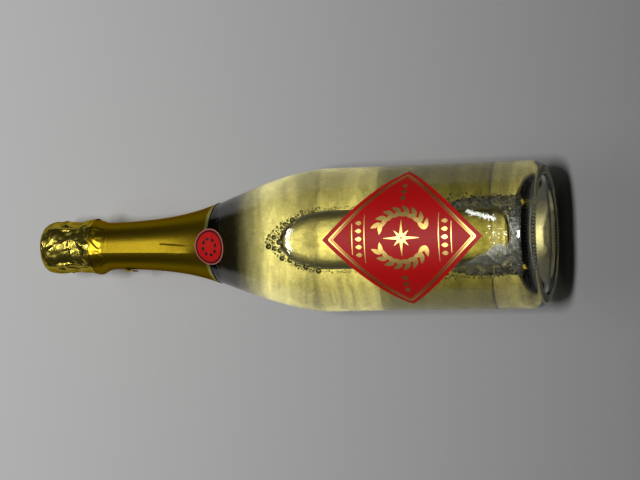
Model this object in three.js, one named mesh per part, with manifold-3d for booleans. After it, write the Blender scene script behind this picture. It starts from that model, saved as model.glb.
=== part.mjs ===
// A sparkling wine bottle: glass, wine, mushroom cork, wire cage, foil capsule, labels and neck seal.
// Millimetres, +Z up along the axis, origin at the centre of the foot, front label facing -Y.

import * as THREE from 'three';
import { mergeVertices } from 'three/addons/utils/BufferGeometryUtils.js';
import Module from 'manifold-3d';

// Driving dimensions of the glass
const bottleHeight = 304;
const bodyRadius = 43.5;
const wall = 4.8;
const footInnerRadius = 35.2;
const footOuterRadius = 38;
const heelHeight = 9;
const puntDepth = 15;
const puntThickness = 6;
const floorThickness = 5;
const innerHeelHeight = 4.5;
const shoulderStart = 133.6;
const shoulderTurnRadius = 28.4;
const shoulderTurnHeight = 193.6;
const shoulderSlope = 0.37;
const neckRadius = 14.2;
const lipRadius = 14.3;
const lipHeight = 6.5;
const lipRounding = 1.6;
const ringRadius = 15;
const ringDepth = 9;
const ringHeight = 4;
const boreRadius = 9;

// Driving dimensions of the closure
const corkStemLength = 24;
const corkDiscHeight = 5.5;
const corkHeadHeight = 16.5;
const corkHeadRadius = 14.6;
const corkSeatRadius = 12.6;
const corkCrownRadius = 11.6;
const corkCrownHeight = 3.6;
const wireDiameter = 0.9;
const capRadius = 12.4;
const capThickness = 0.5;
const capRise = 0.8;
const legCount = 4;
const loopWidth = 4.2;
const loopLength = 13;

// Driving dimensions of the foil, the labels and the neck seal
const foilThickness = 0.4;
const skirtLength = 84.4;
const flareHeight = 4.6;
const hoodOverhang = 1.2;
const tearGap = 0.4;
const tabLength = 7;
const tabWidth = 8;
const tabDrop = 20;
const frontLabelDiagonal = 95;
const frontLabelCentre = 76.5;
const backLabelHeight = 70;
const backLabelWidth = 62;
const backLabelCentre = 74;
const paperThickness = 0.3;
const sheetCorner = 0.8;
const sealRadius = 11.3;
const sealBelowFoilEdge = 1.8;
const sealTurn = -5;

// Driving dimensions of the wine
const gasPocketDepth = 7.5;

// Clearances between neighbours
const seatGap = 0.3;
const glueGap = 0.2;
const liquidGap = 0.3;

// Shape of the shoulder's curves, as shares of the height between their ends
const shoulderFullness = 0.21;
const shoulderRun = 0.5;
const neckRun = 0.25;
const neckReach = 0.61;

// Shape of the punt's curve, as shares of its radius and depth
const puntCrown = 0.5;
const puntFlank = 0.82;
const puntFoot = 0.3;

// Fineness of the faceted solids
const turns = 32;
const shoulderSteps = 7;
const arcSteps = 3;
const puntSteps = 5;
const wireSides = 6;
const legSteps = 12;
const loopSteps = 18;
const skirtSteps = 8;
const tabSteps = 8;
const sheetColumns = 20;
const labelRows = 2;
const sealRows = 6;

const wasm = await Module();
wasm.setup();

const point = (radius, height) => new THREE.Vector2(radius, height);
const degrees = THREE.MathUtils.degToRad;

// A point at an angle around the axis, counted from the front towards +X
function around(angle, radius, height) {
  return new THREE.Vector3(radius * Math.sin(angle), -radius * Math.cos(angle), height);
}

// Solid of revolution about Z from a profile whose outer side runs upwards
function revolve(profile) {
  const solid = new THREE.LatheGeometry(profile, turns);
  solid.rotateX(Math.PI / 2);
  return solid;
}

// Shell of revolution from an outer and an inner side, both listed upwards, closed on itself
function revolveShell(outer, inner) {
  return revolve([...outer, ...inner.slice().reverse(), outer[0].clone()]);
}

function bezier(start, startHandle, endHandle, end, steps) {
  return new THREE.CubicBezierCurve(start, startHandle, endHandle, end).getPoints(steps);
}

// Quarter of an ellipse between two points, leaving the first one upright or level
function quarter(start, end, leavesUpright) {
  const corner = leavesUpright ? point(start.x, end.y) : point(end.x, start.y);
  const points = [];
  for (let step = 0; step <= arcSteps; step += 1) {
    const turn = (step / arcSteps) * (Math.PI / 2);
    const fromStart = 1 - Math.sin(turn);
    const fromEnd = 1 - Math.cos(turn);
    points.push(point(
      corner.x + (start.x - corner.x) * fromStart + (end.x - corner.x) * fromEnd,
      corner.y + (start.y - corner.y) * fromStart + (end.y - corner.y) * fromEnd,
    ));
  }
  return points;
}

// Side of the bottle from the body over the shoulder to the neck, listed upwards
function shoulderSide(startRadius, turnRadius, turnHeight, endRadius, endHeight) {
  const start = point(startRadius, shoulderStart);
  const turn = point(turnRadius, turnHeight);
  const end = point(endRadius, endHeight);
  const lowerSpan = turnHeight - shoulderStart;
  const upperSpan = endHeight - turnHeight;
  const slope = point(-shoulderSlope, 1).normalize();
  const lower = bezier(
    start,
    point(startRadius, shoulderStart + lowerSpan * shoulderFullness),
    turn.clone().addScaledVector(slope, -lowerSpan * shoulderRun),
    turn,
    shoulderSteps,
  );
  const upper = bezier(
    turn,
    turn.clone().addScaledVector(slope, upperSpan * neckRun),
    point(endRadius, endHeight - upperSpan * neckReach),
    end,
    shoulderSteps,
  );
  return [...lower, ...upper.slice(1)];
}

// Radius of a side at a height, between its listed points
function radiusAt(side, height) {
  for (let index = 1; index < side.length; index += 1) {
    const below = side[index - 1];
    const above = side[index];
    if (height <= above.y) {
      const share = (height - below.y) / (above.y - below.y);
      return below.x + (above.x - below.x) * share;
    }
  }
  return side[side.length - 1].x;
}

// Tube of round wire along a path
function wireAlong(path, steps) {
  const section = new THREE.Shape();
  section.absarc(0, 0, wireDiameter / 2, 0, Math.PI * 2, false);
  return new THREE.ExtrudeGeometry(section, {
    steps,
    curveSegments: wireSides,
    bevelEnabled: false,
    extrudePath: path,
  });
}

function wireRing(radius) {
  return new THREE.TorusGeometry(radius, wireDiameter / 2, wireSides, turns);
}

// Thin sheet lying on a round side: columns around the axis, rows along it, closed all over
function wrapSheet({ facing, reach, halfHeight, centre, rows, innerRadius, thickness }) {
  const vertices = [];
  const triangles = [];
  const layerSize = (sheetColumns + 1) * (rows + 1);
  for (const lift of [0, thickness]) {
    for (let column = 0; column <= sheetColumns; column += 1) {
      const across = reach * Math.sin((column / sheetColumns - 0.5) * Math.PI);
      const half = halfHeight(across);
      for (let row = 0; row <= rows; row += 1) {
        const height = centre + half * (2 * row / rows - 1);
        const angle = facing + across / innerRadius(centre);
        vertices.push(...around(angle, innerRadius(height) + lift, height).toArray());
      }
    }
  }
  const quad = (a, b, c, d) => triangles.push(a, b, c, a, c, d);
  const at = (layer, column, row) => layer * layerSize + column * (rows + 1) + row;
  for (let column = 0; column < sheetColumns; column += 1) {
    for (let row = 0; row < rows; row += 1) {
      quad(at(1, column, row), at(1, column + 1, row), at(1, column + 1, row + 1), at(1, column, row + 1));
      quad(at(0, column, row), at(0, column, row + 1), at(0, column + 1, row + 1), at(0, column + 1, row));
    }
    quad(at(0, column, 0), at(0, column + 1, 0), at(1, column + 1, 0), at(1, column, 0));
    quad(at(1, column, rows), at(1, column + 1, rows), at(0, column + 1, rows), at(0, column, rows));
  }
  for (let row = 0; row < rows; row += 1) {
    quad(at(0, 0, row), at(1, 0, row), at(1, 0, row + 1), at(0, 0, row + 1));
    const last = sheetColumns;
    quad(at(1, last, row), at(0, last, row), at(0, last, row + 1), at(1, last, row + 1));
  }
  const sheet = new THREE.BufferGeometry();
  sheet.setAttribute('position', new THREE.Float32BufferAttribute(vertices, 3));
  sheet.setIndex(triangles);
  return sheet;
}

// Closed solid for cutting, with only merged positions left
function toSolid(geometry) {
  const bare = geometry.clone();
  bare.deleteAttribute('normal');
  bare.deleteAttribute('uv');
  const merged = mergeVertices(bare);
  return new wasm.Manifold(new wasm.Mesh({
    numProp: 3,
    vertProperties: new Float32Array(merged.attributes.position.array),
    triVerts: new Uint32Array(merged.index.array),
  }));
}

function toGeometry(solid) {
  const mesh = solid.getMesh();
  const geometry = new THREE.BufferGeometry();
  geometry.setAttribute('position', new THREE.BufferAttribute(mesh.vertProperties, 3));
  geometry.setIndex(new THREE.BufferAttribute(mesh.triVerts, 1));
  return geometry;
}

// Heights and radii that several pieces share
const wireRadius = wireDiameter / 2;
const ringTop = bottleHeight - ringDepth;
const ringBottom = ringTop - ringHeight;
const corkBottom = bottleHeight - corkStemLength;
const corkTop = bottleHeight + seatGap + corkHeadHeight;
const capBottom = corkTop + seatGap;
const beltHeight = ringBottom - seatGap - wireRadius;
const beltRadius = neckRadius + seatGap + wireRadius;
const legRadius = Math.max(ringRadius, beltRadius + wireRadius) + seatGap + wireRadius;
const legHeadRadius = corkHeadRadius + seatGap + wireRadius;
const topRingRadius = capRadius + seatGap + wireRadius;
const hoodBottom = beltHeight - wireRadius - hoodOverhang;
const hoodInnerRadius = legRadius + wireRadius + seatGap;
const hoodHeadRadius = legHeadRadius + wireRadius + seatGap;
const hoodInnerTop = capBottom + capThickness + capRise + seatGap;
const skirtTop = hoodBottom - tearGap;
const foilEdge = skirtTop - skirtLength;
const slopeLength = Math.hypot(1, shoulderSlope);

// Outer and inner sides of the glass
const outerSide = shoulderSide(bodyRadius, shoulderTurnRadius, shoulderTurnHeight, neckRadius, ringBottom);
const innerSide = shoulderSide(
  bodyRadius - wall,
  shoulderTurnRadius - wall / slopeLength,
  shoulderTurnHeight - wall * shoulderSlope / slopeLength,
  boreRadius,
  corkBottom,
);

// Floor of the hollow from the axis to the wall, lifted and drawn in by a gap
function innerFloor(gap) {
  const troughRadius = footInnerRadius - wall / 2;
  const trough = point(troughRadius, floorThickness + gap);
  const crown = puntDepth + puntThickness + gap;
  const rise = bezier(
    point(0, crown),
    point(troughRadius * puntCrown, crown),
    point(troughRadius * puntFlank, trough.y + (crown - trough.y) * puntFoot),
    trough,
    puntSteps,
  );
  const heel = quarter(trough, point(bodyRadius - wall - gap, trough.y + innerHeelHeight), false);
  return [...rise, ...heel.slice(1)];
}

function glassBottle() {
  const punt = bezier(
    point(0, puntDepth),
    point(footInnerRadius * puntCrown, puntDepth),
    point(footInnerRadius * puntFlank, puntDepth * puntFoot),
    point(footInnerRadius, 0),
    puntSteps,
  );
  const heel = quarter(point(footOuterRadius, 0), point(bodyRadius, heelHeight), false);
  const lipBottom = bottleHeight - lipHeight;
  const finish = [
    point(ringRadius, ringBottom + ringHeight / 4),
    point(ringRadius, ringTop - ringHeight / 4),
    point(neckRadius, ringTop),
    point(neckRadius, lipBottom),
    ...quarter(point(lipRadius, lipBottom + lipRounding), point(lipRadius - lipRounding, bottleHeight), true),
    point(boreRadius, bottleHeight),
  ];
  const profile = [
    ...punt,
    ...heel,
    ...outerSide,
    ...finish,
    ...innerSide.slice().reverse(),
    ...innerFloor(0).reverse(),
  ];
  return revolve(profile);
}

function wine() {
  const side = innerSide.map((spot) => point(spot.x - liquidGap, spot.y));
  const top = corkBottom - liquidGap;
  side[side.length - 1].y = top;
  const filling = toSolid(revolve([...innerFloor(liquidGap), ...side, point(0, top)]));
  const surface = bodyRadius - wall - gasPocketDepth;
  const pocket = new THREE.BoxGeometry(2 * bodyRadius, bodyRadius, 2 * bottleHeight);
  pocket.translate(0, -surface - bodyRadius / 2, 0);
  return toGeometry(filling.subtract(toSolid(pocket)));
}

const stemRadius = boreRadius - seatGap;
const discUpperTop = corkBottom + 2 * corkDiscHeight + glueGap;

function corkDisc(bottom) {
  return revolve([
    point(0, bottom),
    point(stemRadius, bottom),
    point(stemRadius, bottom + corkDiscHeight),
    point(0, bottom + corkDiscHeight),
  ]);
}

function corkBody() {
  const bottom = discUpperTop + glueGap;
  const seat = bottleHeight + seatGap;
  const widest = seat + corkHeadHeight / 2;
  return revolve([
    point(0, bottom),
    point(stemRadius, bottom),
    point(stemRadius, seat),
    point(corkSeatRadius, seat),
    ...quarter(point(corkSeatRadius, seat), point(corkHeadRadius, widest), false).slice(1),
    ...quarter(point(corkHeadRadius, corkTop - corkCrownHeight), point(corkCrownRadius, corkTop), true),
    point(0, corkTop),
  ]);
}

function cageCap() {
  const rim = capBottom + capThickness;
  return revolve([
    point(0, capBottom),
    point(capRadius, capBottom),
    point(capRadius, rim),
    point(capRadius / 2, rim + capRise),
    point(0, rim + capRise),
  ]);
}

// Distance of the cage's wire from the axis: upright below the ring's top, then leaning to the cork's head
const headHeight = corkTop - corkHeadHeight / 2;

function wireRadiusAt(height) {
  const share = THREE.MathUtils.clamp((height - ringTop) / (headHeight - ringTop), 0, 1);
  return legRadius + (legHeadRadius - legRadius) * share;
}

function cageLeg(angle) {
  const path = new THREE.CatmullRomCurve3([
    around(angle, topRingRadius + wireDiameter + seatGap, capBottom - wireRadius),
    around(angle, legHeadRadius, corkTop - corkCrownHeight),
    around(angle, legHeadRadius, headHeight),
    around(angle, legRadius, ringTop),
    around(angle, legRadius, beltHeight - wireRadius),
  ]);
  return wireAlong(path, legSteps);
}

function twistLoop() {
  const halfAngle = loopWidth / 2 / legRadius;
  const side = degrees(-90);
  const top = beltHeight + loopLength;
  const shoulder = top - loopWidth / 2;
  const middle = (beltHeight + shoulder) / 2;
  const up = [beltHeight, middle, shoulder];
  const strand = (angle) => up.map((height) => around(angle, wireRadiusAt(height), height));
  const path = new THREE.CatmullRomCurve3([
    ...strand(side - halfAngle),
    around(side, wireRadiusAt(top), top),
    ...strand(side + halfAngle).reverse(),
  ]);
  return wireAlong(path, loopSteps);
}

function foilHood() {
  const inner = [
    point(hoodInnerRadius, hoodBottom),
    point(hoodInnerRadius, ringTop),
    point(hoodHeadRadius, headHeight),
    ...quarter(point(hoodHeadRadius, corkTop - corkCrownHeight / 2), point(capRadius, hoodInnerTop), true),
  ];
  const outer = inner.map((spot) => point(spot.x + foilThickness, spot.y));
  outer[outer.length - 1].y += foilThickness;
  outer[outer.length - 1].x -= foilThickness;
  return revolveShell(outer, inner);
}

function foilTopDisc() {
  const radius = capRadius - seatGap;
  return revolve([
    point(0, hoodInnerTop),
    point(radius, hoodInnerTop),
    point(radius - foilThickness, hoodInnerTop + foilThickness),
    point(0, hoodInnerTop + foilThickness),
  ]);
}

// Inner side of the skirt: on the glass, then flaring out to the hood's rim
const skirtInnerRadius = (height) => radiusAt(outerSide, height) + seatGap;

function foilSkirt() {
  const flareStart = skirtTop - flareHeight;
  const inner = [];
  for (let step = 0; step <= skirtSteps; step += 1) {
    const height = foilEdge + (flareStart - foilEdge) * step / skirtSteps;
    inner.push(point(skirtInnerRadius(height), height));
  }
  const flare = bezier(
    inner[inner.length - 1],
    point(inner[inner.length - 1].x, flareStart + flareHeight / 2),
    point(hoodInnerRadius, flareStart + flareHeight / 2),
    point(hoodInnerRadius, skirtTop),
    arcSteps,
  );
  inner.push(...flare.slice(1));
  const outer = inner.map((spot) => point(spot.x + foilThickness, spot.y));
  return revolveShell(outer, inner);
}

function tearTab() {
  const outline = new THREE.Shape();
  const half = tabWidth / 2;
  outline.moveTo(-half, 0);
  outline.lineTo(-half, -tabLength + half);
  outline.absarc(0, -tabLength + half, half, Math.PI, Math.PI * 2, false);
  outline.lineTo(half, 0);
  outline.closePath();
  const tab = new THREE.ExtrudeGeometry(outline, {
    depth: foilThickness,
    curveSegments: tabSteps,
    bevelEnabled: false,
  });
  tab.rotateX(Math.PI / 2);
  tab.rotateZ(-Math.PI / 2);
  return tab;
}

function frontLabel() {
  const half = frontLabelDiagonal / 2;
  return wrapSheet({
    facing: 0,
    reach: half,
    halfHeight: (across) => Math.max(sheetCorner, half - Math.abs(across)),
    centre: frontLabelCentre,
    rows: labelRows,
    innerRadius: () => bodyRadius + seatGap,
    thickness: paperThickness,
  });
}

function backLabel() {
  return wrapSheet({
    facing: Math.PI,
    reach: backLabelWidth / 2,
    halfHeight: () => backLabelHeight / 2,
    centre: backLabelCentre,
    rows: labelRows,
    innerRadius: () => bodyRadius + seatGap,
    thickness: paperThickness,
  });
}

function neckSeal() {
  const reach = Math.sqrt(sealRadius ** 2 - sheetCorner ** 2);
  return wrapSheet({
    facing: degrees(sealTurn),
    reach,
    halfHeight: (across) => Math.sqrt(sealRadius ** 2 - across ** 2),
    centre: foilEdge - sealBelowFoilEdge,
    rows: sealRows,
    innerRadius: (height) => skirtInnerRadius(height) + foilThickness + seatGap,
    thickness: paperThickness,
  });
}

const finishes = {
  glass: { color: 0xc9cf8a, roughness: 0.03, metalness: 0, transparent: true, opacity: 0.4 },
  wine: { color: 0xd9c35a, roughness: 0.02, metalness: 0, transparent: true, opacity: 0.6 },
  cork: { color: 0xb98a55, roughness: 0.9, metalness: 0 },
  wire: { color: 0xb9b9b4, roughness: 0.35, metalness: 1 },
  foil: { color: 0xa98a1e, roughness: 0.3, metalness: 1 },
  redPaper: { color: 0xc4161c, roughness: 0.5, metalness: 0 },
  palePaper: { color: 0xb9b58c, roughness: 0.7, metalness: 0 },
};

const bottle = new THREE.Group();

function addPiece(name, geometry, finish) {
  const piece = new THREE.Mesh(geometry, new THREE.MeshStandardMaterial(finishes[finish]));
  piece.name = name;
  bottle.add(piece);
  return piece;
}

addPiece('glass_bottle', glassBottle(), 'glass');
addPiece('wine', wine(), 'wine');
addPiece('cork_disc_lower', corkDisc(corkBottom), 'cork');
addPiece('cork_disc_upper', corkDisc(corkBottom + corkDiscHeight + glueGap), 'cork');
addPiece('cork_body', corkBody(), 'cork');
addPiece('cage_cap', cageCap(), 'foil');
addPiece('cage_top_ring', wireRing(topRingRadius), 'wire').position.z = capBottom;
for (let leg = 0; leg < legCount; leg += 1) {
  addPiece(`cage_leg_${leg + 1}`, cageLeg((leg + 0.5) * 2 * Math.PI / legCount), 'wire');
}
addPiece('cage_belt', wireRing(beltRadius), 'wire').position.z = beltHeight;
addPiece('twist_loop', twistLoop(), 'wire');
addPiece('foil_hood', foilHood(), 'foil');
addPiece('foil_top_disc', foilTopDisc(), 'foil');
addPiece('foil_skirt', foilSkirt(), 'foil');
const tabTop = skirtTop - tabDrop;
const tabSeat = skirtInnerRadius(tabTop - tabLength) + foilThickness + seatGap;
addPiece('tear_tab', tearTab(), 'foil').position.set(-tabSeat, 0, tabTop);
addPiece('front_label', frontLabel(), 'redPaper');
addPiece('back_label', backLabel(), 'palePaper');
addPiece('neck_seal', neckSeal(), 'redPaper');

export default bottle;
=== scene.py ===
# A sparkling wine bottle dressed for the camera: glass, wine with its gas pocket, foil, labels and closure.
# Sizes are in millimetres and colours in shares of red, green and blue, unless a comment says otherwise.
# The front faces -Y and the axis runs along +Z.

import math

import bpy
import numpy as np
from mathutils import Matrix, Vector
from mathutils.bvhtree import BVHTree
from mathutils.geometry import delaunay_2d_cdt


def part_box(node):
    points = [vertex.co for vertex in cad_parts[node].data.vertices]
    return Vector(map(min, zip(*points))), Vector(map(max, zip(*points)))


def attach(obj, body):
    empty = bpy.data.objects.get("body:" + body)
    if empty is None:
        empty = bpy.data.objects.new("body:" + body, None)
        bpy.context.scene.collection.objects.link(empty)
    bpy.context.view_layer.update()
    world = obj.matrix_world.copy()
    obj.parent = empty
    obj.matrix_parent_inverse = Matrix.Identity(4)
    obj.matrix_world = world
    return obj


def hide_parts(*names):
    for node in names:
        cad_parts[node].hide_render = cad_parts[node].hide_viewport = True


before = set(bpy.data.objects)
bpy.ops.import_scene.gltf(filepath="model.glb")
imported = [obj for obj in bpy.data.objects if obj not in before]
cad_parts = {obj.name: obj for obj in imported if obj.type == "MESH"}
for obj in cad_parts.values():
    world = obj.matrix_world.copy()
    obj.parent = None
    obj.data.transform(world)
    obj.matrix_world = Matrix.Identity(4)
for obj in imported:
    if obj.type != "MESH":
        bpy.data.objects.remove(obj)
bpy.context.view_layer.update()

MM = 0.001
TURN = 2 * math.pi
LEFT = -math.pi / 2
SQUARE = ((-1, -1), (1, -1), (1, 1), (-1, 1))


def node_box(node):
    """Lowest and highest corner of a node of the frame."""
    return np.round(np.array(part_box(node)) / MM, 4)


def node_ends(node):
    """Lowest and highest point of a node of the frame along the axis."""
    return node_box(node)[:, 2]


# Photograph and camera
PHOTO_SIZE = (640, 480)
SENSOR_WIDTH = 36.0
FOCAL_PX = 1600.0
FOOT_PX = (547.7, 233.8)
FOOT_DEPTH = 931.0
TILT = math.radians(18.2)
ROLL = math.radians(1.62)
CLIP_START = 10.0

# Stage and lamps, with places and lamp sizes in metres, and the power of the lamps in watts
FLOOR_REACH = 3.0
FLOOR_GAP = 0.7
# Painted light falloff on the floor: heights in metres between which its grey runs from the darker level at the
# foot to the paler level at the neck
FLOOR_ENDS = (-0.1, 0.4)
FLOOR_FALLOFF_GREYS = (0.2, 0.5)
LAMP_TARGET = (0, 0, 0.16)
LAMPS = (
    ("key", (0.0, -1.5, 0.17), (0.3, 0.06), 17.6),
    ("second", (0.0, -1.5, 1.3), (1.2, 0.05), 6.0),
    ("back", (0.5, 1.4, 0.6), (0.6, 0.6), 12.0),
)
STUDIO_GREY = 0.5
STUDIO_STRENGTH = 0.042

# Glass, as in the solids
BODY_RADIUS, BOTTLE_HEIGHT = node_box("glass_bottle")[1, [0, 2]]
CORK_BOTTOM = node_ends("cork_disc_lower")[0]
WALL = 4.8
FOOT_INNER = 35.2
FOOT_OUTER = 38.0
FOOT_ROUNDING = 1.2
HEEL_HEIGHT = 9.0
PUNT_DEPTH = 15.0
PUNT_THICKNESS = 6.0
PUNT_CROWN = 0.5
PUNT_FLANK = 0.82
PUNT_FOOT = 0.3
FLOOR_THICKNESS = 5.0
INNER_HEEL_HEIGHT = 4.5
SHOULDER_START = 133.6
SHOULDER_TURN = (28.4, 193.6)
SHOULDER_SLOPE = 0.37
SHOULDER_FULLNESS = 0.21
SHOULDER_RUN = 0.5
SLOPE_LENGTH = math.hypot(1, SHOULDER_SLOPE)
NECK_RADIUS = 14.2
NECK_RUN = 0.25
NECK_REACH = 0.61
LIP_RADIUS = 14.3
LIP_HEIGHT = 6.5
LIP_ROUNDING = 1.6
RING_RADIUS = 15.0
RING_TOP = 295.0
RING_BOTTOM = 291.0
BORE_RADIUS = 9.0

# Bars pressed into the foot ring, and how far outside it they start to fade and end
KNURL_COUNT = 116
KNURL_COLUMNS = 4
KNURL_DEPTH = 1.4
KNURL_FADE = (1.0, 3.0)

# Glass as a material: its colours, and the share of the lamps' light that passes at the foot, and at stops of
# height and of distance from a line beside the axis
GLASS_COLOUR = (0.98, 0.985, 0.95)
GLASS_IOR = 1.5
# Colour of the foot ring's ridges: partly frosting, partly painted light carried through the thick glass of the
# foot
FROST_AND_GLOW = (0.62, 0.64, 0.36)
FOOT_PASSES = 0.1
LAMPS_ALONG = ((174, 0.97), (196, 0.3))
LAMPS_ACROSS = ((7, 1.0), (10, 0.82), (14, 0.72), (28, 0.43))
LAMPS_MIDDLE = -1.2

# Faces of clear material, one behind the other, that a lamp's light gets through
CLEAR_FACES = 24

# Wine and its gas pocket under the front: how far around it reaches, how far the wine climbs at its edge, and
# the height up to which that edge is upright
WINE_IOR = 1.34
WINE_OVERLAP = 0.15
WINE_GAP = 0.1
POCKET_ANGLE = 0.45
POCKET_RIM = 5.2
POCKET_NOSE = 4.0
POCKET_STEEPNESS = 0.35
POCKET_FILM = 0.1

# Heights at which the pocket starts to narrow and ends, towards the foot and towards the neck
POCKET_FOOT = (24.0, 14.0)
POCKET_TIP = (122.0, 152.0)

# Froth along the pocket near the foot, which spreads over the pocket on one side
FROTH_ANGLE = 0.58
FROTH_BOTTOM = 8.5
FROTH_TOP = 58.0
FROTH_NARROWS = 0.6
FROTH_DEPTH = 1.9
FROTH_THICKNESS = 0.2
FROTH_SPREAD = (20.0, 45.0)
FROTH_SPREAD_ANGLE = 0.12
FROTH_OVERLAP = 0.02
FROTH_FRAY = 0.03

# Bubbles: their raft at the pocket's tip, with tries and radii, those beside the pocket, with tries, heights,
# angles from its edge and radii, and those at the heel, with tries, heights and radii
BUBBLE_SIDES = 10
BUBBLE_GAP = 0.03
BUBBLE_FILM = 0.08
BUBBLE_INSET = 0.3
RAFT_START = 127.0
RAFT_TIP = 161.5
RAFT_ANGLE = 0.5
RAFT_FULLNESS = 0.8
RAFT_BUBBLES = ((60, (1.3, 1.9)), (600, (0.6, 1.1)), (2500, (0.25, 0.5)))
EDGE_BUBBLES = (
    (500, (60, 140), (0.0, 0.05), (0.25, 0.55)),
    (80, (14, 58), (0.03, 0.16), (0.6, 1.3)),
    (160, (14, 56), (0.12, 0.2), (0.45, 0.95)),
    (700, (9, 58), (0.0, 0.18), (0.25, 0.6)),
)
HEEL_BUBBLES = (900, (9, 18), (0.25, 0.8))

# White flecks over the pocket, shaped as foam, as painted highlights: a streak between two spots of angle and
# height, and a field of glints near the foot
STREAK_START = (0.36, 39.5)
STREAK_END = (0.24, 22.5)
STREAK_COUNT = 190
STREAK_SPREAD = (0.016, 0.4)
FLECK_ANGLE = 0.15
FLECK_HEIGHTS = (16.0, 28.0)
FLECK_COUNT = 26
FLECK_RADII = (0.2, 0.5)
FLECK_FILM = 0.15

# Foil on the neck, and the painted shade on the glass next to it, where the foil shadows the neck, as stops of
# height and level
FOIL_EDGE, SKIRT_TOP = node_ends("foil_skirt")
FOIL_BROWN = (0.3, 0.22, 0.12)
NECK_SHADE = ((186, 1.0), (FOIL_EDGE, 0.52), (SKIRT_TOP, 1.0))
FOIL_BAND = 2.4
FOIL_LIFT = 0.12
FOIL_THICKNESS = 0.3
FLARE_HEIGHT = 4.6
FLARE_RADIUS = 16.9
SEAM_ANGLE = math.radians(-16)
SEAM_GAP = 0.006
FLAP_ANGLE = math.radians(20)
FLAP_STIFFNESS = 0.75
FOLD_ANGLES = (math.radians(-5), math.radians(2))
FOLD_HEIGHTS = (213.0, 240.0)
FOLD_DEPTH = 0.3
FOLD_WIDTH = 0.018
FOLD_FADE = 3.0

# Creases in the foil: the span that has them, their spacing, and how deep the wide and the fine ones are
CRUMPLE_BOTTOM = 270.0
CRUMPLE_TOP = 326.0
CRUMPLE_RADIUS = 16.5
CREASE_SPACING = 5.2
FINE_SPACING = 2.4
CREASE_SHIFT = 0.42
SKIRT_DENTS = (0.6, 0.25)
HOOD_DENTS = (0.85, 0.3)
SMOOTH_TOP = 274.0
SMOOTH_FADE = 10.0
EDGE_FADE = 2.0
EDGE_CALM = 0.5

# Swellings of the foil: spot of angle and height, width both ways, and rise
RIDGE = ((0.45, SMOOTH_TOP + 3), (0.6, 0.5), 0.22)
SKIRT_BULGE = ((LEFT, SKIRT_TOP - 4), (0.22, 4.5), 1.1)
HOOD_BULGE = ((LEFT, 291.0), (0.22, 5.0), 0.5)

# Foil over the cork: its outline as radius and rise above its lower edge, and how the cage's legs show in it
HOOD_BOTTOM, HOOD_TOP = node_ends("foil_hood")
HOOD_REACH = 17.7
HOOD_OUTLINE = (
    (17.35, -1.0), (17.3, 1.6), (16.6, 3.6), (16.15, 7.4), (15.8, 11.4), (15.75, 15.4),
    (16.2, 18.4), (16.5, 24.4), (16.4, 28.4), (15.7, 31.8), (14.3, 33.8), (12.3, HOOD_TOP - HOOD_BOTTOM),
)
HOOD_CALM_HEIGHT = 320.0
HOOD_CALM = 0.7
LEG_RIDGE_WIDTH = 0.07
LEG_RIDGE_RISE = 0.5
LEG_RIDGE_CALM = 0.8
LEG_RIDGE_FADE = (316.0, 321.0)

# Disc that closes the foil, with its rolled rings as radius and depth, and the tear tab
DISC_RADIUS = 12.6
DISC_DROP = 0.15
DISC_EDGE_DROP = 0.2
DISC_BOTTOM = 0.5
DISC_RINGS = ((5.7, 0.1), (10.9, 0.12))
DISC_RING_HALF = 0.5
DISC_RING_RISE = 0.22
TAB_CURL = 0.25
TAB_TIP = 0.05

# Labels
LABEL_DIAGONAL = np.ptp(node_ends("front_label"))
LABEL_CENTRE = node_ends("front_label").mean()
BACK_LABEL_SIZE = np.array([62.0, np.ptp(node_ends("back_label"))])
BACK_LABEL_CENTRE = node_ends("back_label").mean()
PAPER_LIFT = 0.05
PAPER_THICKNESS = 0.14
PAPER_SPECULAR = 0.18
SEAL_RADIUS = np.ptp(node_ends("neck_seal")) / 2
SEAL_CENTRE = node_ends("neck_seal").mean()
SEAL_ANGLE = math.radians(-5)
SEAL_LIFT = 0.1
SEAL_THICKNESS = 0.2
SEAL_DESCENT = 3.0

# Heights between which the foil's flap comes loose above the seal
FLAP_HEIGHTS = (SEAL_CENTRE + SEAL_RADIUS, SEAL_CENTRE + 2.4 * SEAL_RADIUS)

# Rings of the seal as shares of its radius, and which of them are dashed, dark and pale
SEAL_SHARES = np.array([0, 0.36, 0.52, 0.8, 0.82, 0.92, 0.965, 1.0])
SEAL_COLUMNS = 72
SEAL_DASHED = 1
SEAL_DARK = 4
SEAL_RIM = 6
DASH_COLUMNS = 9
DASH_LENGTH = 5

# Ornament of the labels: inset and width of the frame lines, length and width of leaves, half length and
# distance from the centre of rules
LINE_SINK = 0.03
LINE_THICKNESS = 0.09
FRAME_LINES = ((3.0, 1.1), (4.3, 0.35))
LEAF_END = 0.08
LEAF_BELLY = 0.8
WREATH_RADIUS = 15.0
WREATH_STEP = math.radians(18)
WREATH_LEAF = (6.6, 2.6)
WREATH_SPREAD = 0.5
STAR_RAYS = 8
STAR_REACH = (10.5, 6.0)
STAR_HUB = 0.6
STAR_WIDTHS = (2.2, 0.2)
LOZENGE = (3.8, 2.4)
LOZENGE_STEP = 4.6
LOZENGE_ROW = 25.5
RULES = ((14.0, 22.0), (9.0, 29.4))
RULE_WIDTH = 0.5
DROP = (3.2, 3.0)
DROP_START = 24.0
DROP_STEP = 4.5
BACK_LINE_INSET = 4.0
BACK_LINE_WIDTH = 0.6
BACK_RULE = (0.6, 0.4)
BACK_LEAF = (6.0, 3.2)
BACK_LEAF_STEP = 6.5

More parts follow.
